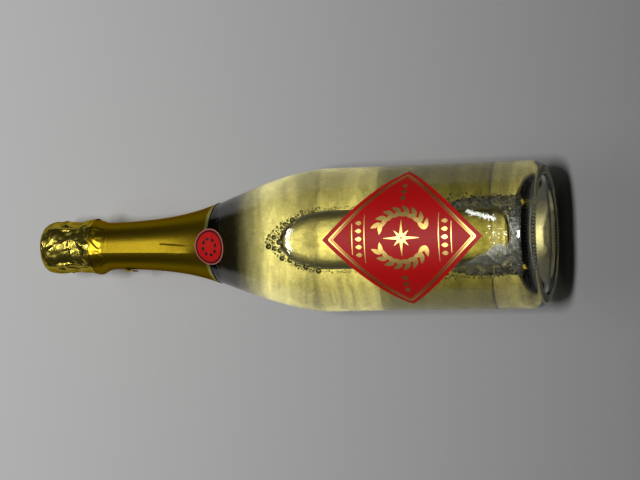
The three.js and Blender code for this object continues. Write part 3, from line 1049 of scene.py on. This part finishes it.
CREASES = Crumple(CREASE_SPACING)
FINE_CREASES = Crumple(FINE_SPACING)


def dents(angles, height, depths):
    return depths[0] * CREASES.at(angles, height) + depths[1] * FINE_CREASES.at(angles, height)


def near_angle(angle, middle, width):
    """1 at an angle, falling off smoothly to both sides of it."""
    away = (angle - middle + math.pi) % TURN - math.pi
    return np.exp(-(away / width) ** 2)


def swelling(angles, height, spot, widths, rise):
    """Rise around a spot of angle and height, falling off smoothly."""
    return rise * np.exp(-((height - spot[1]) / widths[1]) ** 2) * near_angle(angles, spot[0], widths[0])


def shell(outer_rings):
    """Closed thin shell of foil under rings of points: the same rings again, nearer to the axis."""
    inner_rings = []
    for ring in outer_rings:
        reach = np.hypot(ring[:, 0], ring[:, 1])[:, None]
        inner_rings.append(ring - ring * [1, 1, 0] * FOIL_THICKNESS / reach)
    return outer_rings + inner_rings[::-1]


def fold(angles, height):
    """Narrow groove of a fold in the flap, which runs from the seal up the neck."""
    middle = np.interp(height, FOLD_HEIGHTS, FOLD_ANGLES)
    fade = 1 - ease(height, FOLD_HEIGHTS[1] - FOLD_FADE, FOLD_HEIGHTS[1])
    return FOLD_DEPTH * fade * near_angle(angles, middle, FOLD_WIDTH)


def build_skirt():
    """Foil on the neck: a flap along its seam, a flared and crumpled upper end, and a pale lower edge."""
    around = np.union1d(even_angles(240), np.arange(0, 2 * FLAP_ANGLE, FOLD_WIDTH / 3))
    offsets = np.append(around, TURN - SEAM_GAP)
    angles = SEAM_ANGLE + offsets
    flap = FLAP_STIFFNESS * (1 / np.cos(np.maximum(FLAP_ANGLE - offsets, 0)) - 1)
    band = np.linspace(FOIL_EDGE, FOIL_EDGE + FOIL_BAND, 4)
    smooth = np.linspace(band[-1], CRUMPLE_BOTTOM, 60)[1:]
    heights = np.concatenate([band, smooth, np.linspace(CRUMPLE_BOTTOM, SKIRT_TOP, 46)[1:]])
    rings = []
    for height in heights:
        flare = ease(height, SKIRT_TOP - 2 * FLARE_HEIGHT, SKIRT_TOP)
        loose = ease(height, *FLAP_HEIGHTS)
        close = foil_radius(height)
        radius = close * (1 + loose * flap) - loose * fold(angles, height) + flare * (FLARE_RADIUS - close)
        rough = ease(height, SMOOTH_TOP, SMOOTH_TOP + SMOOTH_FADE)
        rough *= 1 - EDGE_CALM * ease(height, SKIRT_TOP - EDGE_FADE, SKIRT_TOP)
        if rough > 0:
            radius = radius + rough * np.abs(dents(angles, height, SKIRT_DENTS))
        radius = radius + swelling(angles, height, *RIDGE) + swelling(angles, height, *SKIRT_BULGE)
        rings.append(wrap(angles, radius, height))

    def kind_of(ring, column):
        if ring < len(band) - 1:
            return 1
        return 0 if ring < len(heights) else 2

    ring_piece("foil_neck", shell(rings), [FOIL, FOIL_PALE, FOIL_INSIDE], "bottle", "gold_foil",
               ["foil_skirt"], kind_of, closed=True, sharp=28)


def build_hood():
    """Crumpled foil over cork and cage, with ridges where the cage's legs and loop lie under it."""
    angles = even_angles(300)
    rings = []
    for radius, rise in smooth_line(HOOD_OUTLINE, 10):
        height = HOOD_BOTTOM + rise
        calm = 1 - HOOD_CALM * ease(height, HOOD_CALM_HEIGHT, HOOD_TOP)
        legs = sum(near_angle(angles, leg, LEG_RIDGE_WIDTH) for leg in LEG_ANGLES)
        legs = legs * (1 - ease(height, *LEG_RIDGE_FADE))
        reach = radius + calm * dents(angles, height, HOOD_DENTS) * (1 - LEG_RIDGE_CALM * legs)
        reach = reach + LEG_RIDGE_RISE * legs + swelling(angles, height, *HOOD_BULGE)
        rings.append(wrap(angles, np.minimum(reach, HOOD_REACH), height))
    ring_piece("foil_cap", shell(rings), [LIT_FOIL_HOOD, FOIL_INSIDE], "hood", "gold_foil", ["foil_hood"],
               lambda ring, column: 0 if ring < len(rings) else 1, closed=True, sharp=28)


def build_hood_disc():
    top = HOOD_TOP - DISC_DROP
    profile = [(0, top - DISC_RINGS[0][1])]
    for radius, depth in DISC_RINGS:
        profile.append((radius - DISC_RING_HALF, top - depth))
        profile.append((radius, top - depth + DISC_RING_RISE))
        profile.append((radius + DISC_RING_HALF, top - depth))
    profile += [(DISC_RADIUS, top - DISC_EDGE_DROP), (DISC_RADIUS, top - DISC_BOTTOM), (0, top - DISC_BOTTOM)]
    rings = spin(profile[::-1], even_angles(96))
    ring_piece("foil_disc", rings, [LIT_FOIL_HOOD], "hood", "gold_foil", ["foil_top_disc"])


def build_tab():
    """Tear tab, whose root meets the foil and whose tip curls away from it."""
    low, high = node_box("tear_tab")
    rings = []
    for share in np.linspace(0, 1, 15):
        half = high[1] * math.sqrt(max(TAB_TIP, 1 - (2 * max(share - 0.5, 0)) ** 2))
        height = high[2] - share * (high[2] - low[2])
        curl = TAB_CURL * share ** 2
        root = (-foil_radius(height) - high[0]) * (1 - share) ** 2
        across = half * np.linspace(-1, 1, 5)
        sides = [(high[0] + root - curl, place, height) for place in across]
        sides += [(low[0] - curl, place, height) for place in across[::-1]]
        rings.append(np.array(sides))
    ring_piece("tab_foil", close_ends(rings), [SHADED_FOIL_TAB], "tab", "gold_foil", ["tear_tab"])


# Labels

def label_piece(name, across, up, angle, centre, materials, slot, nodes):
    """Paper on the body from a grid of places around a centre: front, back and rim."""
    angles = angle + across / BODY_RADIUS
    low = BODY_RADIUS + PAPER_LIFT
    sides = [wrap(angles, radius, centre + up).reshape(-1, 3) for radius in (low + PAPER_THICKNESS, low)]
    index = np.arange(across.size).reshape(across.shape)
    quads = np.stack([index[:-1, :-1], index[:-1, 1:], index[1:, 1:], index[1:, :-1]], axis=-1).reshape(-1, 4)
    rim = np.concatenate([index[0], index[1:, -1], index[-1, -2::-1], index[-2:0:-1, 0]])
    after = np.roll(rim, -1)
    edge = np.stack([after, rim, rim + index.size, after + index.size], axis=1)
    faces = np.vstack([quads, quads[:, ::-1] + index.size, edge]).tolist()
    kinds = [0] * len(quads) + [1] * len(quads) + [0] * len(edge)
    make_piece(name, np.vstack(sides), faces, materials, "bottle", slot, nodes, kinds)


def build_front_label():
    half = LABEL_DIAGONAL / math.sqrt(8)
    first, second = np.meshgrid(np.linspace(-half, half, 41), np.linspace(-half, half, 41))
    across = (first - second) / math.sqrt(2)
    up = (first + second) / math.sqrt(2)
    label_piece("label_front", across, up, 0.0, LABEL_CENTRE, [LABEL_RED, LABEL_BACKING],
                "label_paper", ["front_label"])


def build_back_label():
    width, length = BACK_LABEL_SIZE
    across, up = np.meshgrid(np.linspace(-0.5, 0.5, 33) * width, np.linspace(-0.5, 0.5, 5) * length)
    label_piece("label_back", across, up, math.pi, BACK_LABEL_CENTRE, [BACK_PAPER, LABEL_BACKING],
                "back_label_paper", ["back_label"])


def ribbon(left, right):
    """Thin strip on the front label between two lines of points, counted from the label's centre."""
    low = BODY_RADIUS + PAPER_LIFT + PAPER_THICKNESS - LINE_SINK
    radii = low + np.array([0, 0, LINE_THICKNESS, LINE_THICKNESS])
    rings = []
    for one, other in zip(left, right):
        across, up = np.array([one, other, other, one]).T
        rings.append(wrap(across / BODY_RADIUS, radii, LABEL_CENTRE + up))
    return rings_to_mesh(close_ends(rings))[:2]


def straight(start, end, width, end_width=None, steps=12):
    """Strip along a straight line, narrowing towards its end if a second width is given."""
    start = np.asarray(start, dtype=float)
    end = np.asarray(end, dtype=float)
    share = np.linspace(0, 1, steps + 1)[:, None]
    ahead = (end - start) / np.linalg.norm(end - start)
    side = np.array([-ahead[1], ahead[0]])
    half = (width + share * ((width if end_width is None else end_width) - width)) / 2
    line = start + share * (end - start)
    return ribbon(line - side * half, line + side * half)


def leaf(root, direction, length, width):
    """Leaf with a pointed tip, bowed to both sides of its rib."""
    ahead = np.array([math.cos(direction), math.sin(direction)])
    side = np.array([-ahead[1], ahead[0]])
    share = np.linspace(0.0, 1.0, 9)[:, None]
    half = LEAF_END + width / 2 * np.sin(math.pi * share ** LEAF_BELLY)
    line = np.asarray(root) + share * length * ahead
    return ribbon(line - side * half, line + side * half)


def upright_leaf(across, up, size):
    return leaf((across, up - size[0] / 2), math.pi / 2, *size)


def lines_around(corners, width, steps=12):
    """Lines that join four corners."""
    return [straight(corners[k], corners[(k + 1) % 4], width, steps=steps) for k in range(4)]


def label_frame():
    parts = []
    for inset, width in FRAME_LINES:
        reach = LABEL_DIAGONAL / 2 - inset * math.sqrt(2)
        parts += lines_around([(0, reach), (reach, 0), (0, -reach), (-reach, 0)], width, 24)
    return parts


def wreath():
    parts = []
    for side in (-1, 1):
        for step in range(1, 9):
            turn = -math.pi / 2 + side * WREATH_STEP * step
            root = (WREATH_RADIUS * math.cos(turn), WREATH_RADIUS * math.sin(turn))
            along = turn + side * math.pi / 2
            parts += [leaf(root, along + lean, *WREATH_LEAF) for lean in (WREATH_SPREAD, -WREATH_SPREAD)]
    return parts


def star():
    parts = []
    for ray in range(STAR_RAYS):
        turn = ray * TURN / STAR_RAYS
        ahead = np.array([math.cos(turn), math.sin(turn)])
        parts.append(straight(STAR_HUB * ahead, STAR_REACH[ray % 2] * ahead, *STAR_WIDTHS))
    return parts


def lozenge_rows():
    parts = []
    for side in (-1, 1):
        parts += [upright_leaf(step * LOZENGE_STEP, side * LOZENGE_ROW, LOZENGE) for step in range(-2, 3)]
        parts += [straight((-half, side * up), (half, side * up), RULE_WIDTH) for half, up in RULES]
        parts += [upright_leaf(side * (DROP_START + DROP_STEP * step), 0, DROP) for step in range(3)]
    return parts


def build_label_gold():
    parts = label_frame() + wreath() + star() + lozenge_rows()
    make_piece("label_lines", *join(parts), [LABEL_GOLD], "bottle", "label_paper")


def build_back_lines():
    """A frame, two rules and a row of leaves on the back label, made on the front and turned to the back."""
    half = BACK_LABEL_SIZE / 2 - BACK_LINE_INSET
    parts = lines_around([half * sides for sides in SQUARE], BACK_LINE_WIDTH)
    for side in (-1, 1):
        across, up = half * BACK_RULE
        parts.append(straight((-across, side * up), (across, side * up), BACK_LINE_WIDTH))
    parts += [upright_leaf(step * BACK_LEAF_STEP, 0, BACK_LEAF) for step in range(-2, 3)]
    vertices, faces = join(parts)
    turned = np.asarray(vertices) * (-1, -1, 1) + (0, 0, BACK_LABEL_CENTRE - LABEL_CENTRE)
    make_piece("back_label_lines", turned, faces, [SEAL_RED], "bottle", "back_label_paper")


def seal_lift(height):
    """The seal lies on the foil above its edge and comes down to the glass below it."""
    return SEAL_LIFT + (FOIL_LIFT + FOIL_THICKNESS) * ease(height, FOIL_EDGE - SEAL_DESCENT, FOIL_EDGE)


def build_seal():
    """Round seal with a dark ring near its pale rim and a ring of dark dashes in its middle."""
    turn = even_angles(SEAL_COLUMNS)
    rings = []
    for thickness, shares in ((SEAL_THICKNESS, SEAL_SHARES), (0.0, SEAL_SHARES[::-1])):
        for radius in shares * SEAL_RADIUS:
            height = SEAL_CENTRE + radius * np.cos(turn) / SLOPE_LENGTH
            wall = outer_radius(height) + seal_lift(height) + thickness
            points = wrap(SEAL_ANGLE - radius * np.sin(turn) / wall, wall, height)
            rings.append(points if radius > 0 else points[:1])

    def kind_of(ring, column):
        dash = ring == SEAL_DASHED and column % DASH_COLUMNS < DASH_LENGTH
        if ring == SEAL_DARK or dash:
            return 1
        return 2 if ring == SEAL_RIM else 0

    ring_piece("seal_round", rings, [SEAL_RED, SEAL_BLACK, SEAL_PALE], "bottle", "seal_paper",
               ["neck_seal"], kind_of)


# Cork and wire cage

def build_cork_disc(node):
    low, high = node_box(node)
    radius = high[0] - CORK_DISC_PLAY
    profile = [(0, low[2]), (radius - CORK_BEVEL, low[2]), (radius, low[2] + CORK_BEVEL),
               (radius, high[2] - CORK_EDGE), (radius - CORK_EDGE, high[2]), (0, high[2])]
    ring_piece(node + "_grain", spin(profile, even_angles(72)), [CORK_FINE], "cork", "natural_cork", [node])


def build_cork():
    low, high = node_box("cork_body")
    stem = BORE_RADIUS - CORK_PLAY
    seat = BOTTLE_HEIGHT + CORK_SEAT
    head = [(high[0] - inset, seat + (high[2] - seat) * share) for share, inset in CORK_HEAD]
    side = smooth_line([(CORK_SEAT_RADIUS, seat), *head, (CORK_CROWN_RADIUS, high[2] - CORK_EDGE)], 8)
    lower = [(0, low[2]), (stem, low[2]), (stem, BOTTLE_HEIGHT - LIP_ROUNDING), (stem + CORK_BEVEL, seat)]
    rings = spin(np.vstack([lower, side, [(0, high[2])]]), even_angles(96))
    ring_piece("cork_grain", rings, [CORK], "cork", "agglomerate_cork", ["cork_body"])


def build_cap():
    low, high = node_box("cage_cap")
    reach = high[0]
    rim = [(reach, low[2] + CAP_LIP), (reach - CAP_EDGE, low[2])]
    upper, lower = ([(radius if radius >= 0 else reach + radius, high[2] - drop) for radius, drop in side]
                    for side in (CAP_UPPER, CAP_LOWER))
    rings = spin((upper + rim + lower)[::-1], even_angles(96))
    ring_piece("cap_plate", rings, [CAP_GOLD], "wire_cage", "cap_lacquer", ["cage_cap"])


def twisted(path, strand, pitch):
    """Two wire strands wound around each other along a line of points."""
    path = np.asarray(path, dtype=float)
    lengths = np.concatenate([[0], np.cumsum(np.linalg.norm(np.diff(path, axis=0), axis=1))])
    count = max(STRAND_STEPS, int(lengths[-1] / pitch * STRAND_STEPS))
    spots = np.linspace(0, lengths[-1], count)
    line = np.stack([np.interp(spots, lengths, path[:, axis]) for axis in range(3)], axis=1)
    along = np.gradient(line, axis=0)
    along /= np.linalg.norm(along, axis=1)[:, None]
    outward = line * [1, 1, 0]
    outward = outward - along * (outward * along).sum(axis=1)[:, None]
    outward /= np.linalg.norm(outward, axis=1)[:, None]
    sideways = np.cross(along, outward)
    parts = []
    for phase in (0, math.pi):
        turn = (spots / pitch * TURN + phase)[:, None]
        parts.append(tube(line + strand * (np.cos(turn) * outward + np.sin(turn) * sideways), strand, 7))
    return join(parts)


def wire_piece(name, mesh, node):
    make_piece(name, *mesh, [WIRE], "wire_cage", "cage_wire", [node])


def build_legs():
    for number, angle in enumerate(LEG_ANGLES, start=1):
        path = wrap(angle, LEG_LINE[:, 0], LEG_LINE[:, 1])
        wire_piece(f"leg_wires_{number}", twisted(path, LEG_STRAND, LEG_PITCH), f"cage_leg_{number}")


def build_rings():
    for name, node in (("belt_wire", "cage_belt"), ("ring_wire", "cage_top_ring")):
        path = wrap(even_angles(120), node_box(node)[1, 0] - WIRE_RADIUS, node_ends(node).mean())
        wire_piece(name, tube(path, WIRE_RADIUS, 10, closed=True), node)


def build_loop():
    """Loop that closes the belt: a twisted stem and a ring of wire on it."""
    low, high = node_box("twist_loop")
    start = low[2] + LOOP_START
    stem_top = low[2] + (high[2] - low[2]) * LOOP_STEM
    stem = [(-leg_radius(height), 0, height) for height in (start, stem_top)]
    centre = (stem_top + high[2]) / 2
    turn = even_angles(40)
    height = centre + (high[2] - LOOP_INSET - centre) * np.cos(turn)
    ring = np.stack([-leg_radius(height), (high[1] - LOOP_INSET) * np.sin(turn), height], axis=1)
    parts = [twisted(stem, LOOP_STRAND, LOOP_PITCH), tube(ring, LOOP_WIRE, 8, closed=True)]
    wire_piece("loop_wire", join(parts), "twist_loop")


# Stage, lamps and camera

def build_stage():
    """The floor that the photographed bottle lies on stands behind the upright part."""
    back = (BODY_RADIUS + FLOOR_GAP) * MM
    mesh = bpy.data.meshes.new("floor")
    corners = [(across * FLOOR_REACH, back, up * FLOOR_REACH) for across, up in SQUARE]
    mesh.from_pydata(corners, [], [[0, 1, 2, 3]])
    mesh.materials.append(floor_material())
    floor = bpy.data.objects.new("floor", mesh)
    bpy.context.collection.objects.link(floor)


def build_lamps():
    for name, place, size, watts in LAMPS:
        lamp = bpy.data.lights.new(name, "AREA")
        lamp.shape = "RECTANGLE"
        lamp.size, lamp.size_y = size
        lamp.energy = watts
        held = bpy.data.objects.new(name, lamp)
        held.location = place
        held.rotation_euler = (Vector(LAMP_TARGET) - Vector(place)).to_track_quat("-Z", "Y").to_euler()
        bpy.context.collection.objects.link(held)
    world = bpy.data.worlds.new("studio")
    world.use_nodes = True
    light = world.node_tree.nodes["Background"].inputs
    feed(light["Color"], (STUDIO_GREY,) * 3)
    feed(light["Strength"], STUDIO_STRENGTH)
    bpy.context.scene.world = world


def build_camera():
    right = Vector((0, math.sin(TILT), -math.cos(TILT)))
    ahead = Vector((0, math.cos(TILT), math.sin(TILT)))
    up = Vector((1, 0, 0))
    rolled_right = right * math.cos(ROLL) - up * math.sin(ROLL)
    rolled_up = right * math.sin(ROLL) + up * math.cos(ROLL)
    across = (FOOT_PX[0] - PHOTO_SIZE[0] / 2) * FOOT_DEPTH / FOCAL_PX
    above = (PHOTO_SIZE[1] / 2 - FOOT_PX[1]) * FOOT_DEPTH / FOCAL_PX
    place = -(rolled_right * across + rolled_up * above + ahead * FOOT_DEPTH) * MM
    axes = Matrix((rolled_right, rolled_up, -ahead)).transposed()
    data = bpy.data.cameras.new("camera")
    data.sensor_width = SENSOR_WIDTH
    data.lens = SENSOR_WIDTH * FOCAL_PX / PHOTO_SIZE[0]
    data.clip_start = CLIP_START * MM
    camera = bpy.data.objects.new("camera", data)
    camera.matrix_world = Matrix.Translation(place) @ axes.to_4x4()
    bpy.context.collection.objects.link(camera)
    bpy.context.scene.camera = camera


build_camera()
build_lamps()
build_stage()
build_glass()
build_wine()
build_pocket()
build_bubbles()
build_froth()
build_glint_flecks()
build_skirt()
build_hood()
build_hood_disc()
build_tab()
build_front_label()
build_label_gold()
build_back_label()
build_back_lines()
build_seal()
build_cork_disc("cork_disc_lower")
build_cork_disc("cork_disc_upper")
build_cork()
build_cap()
build_legs()
build_rings()
build_loop()

bpy.context.scene.view_settings.view_transform = "Standard"
bpy.context.scene.cycles.transparent_max_bounces = CLEAR_FACES
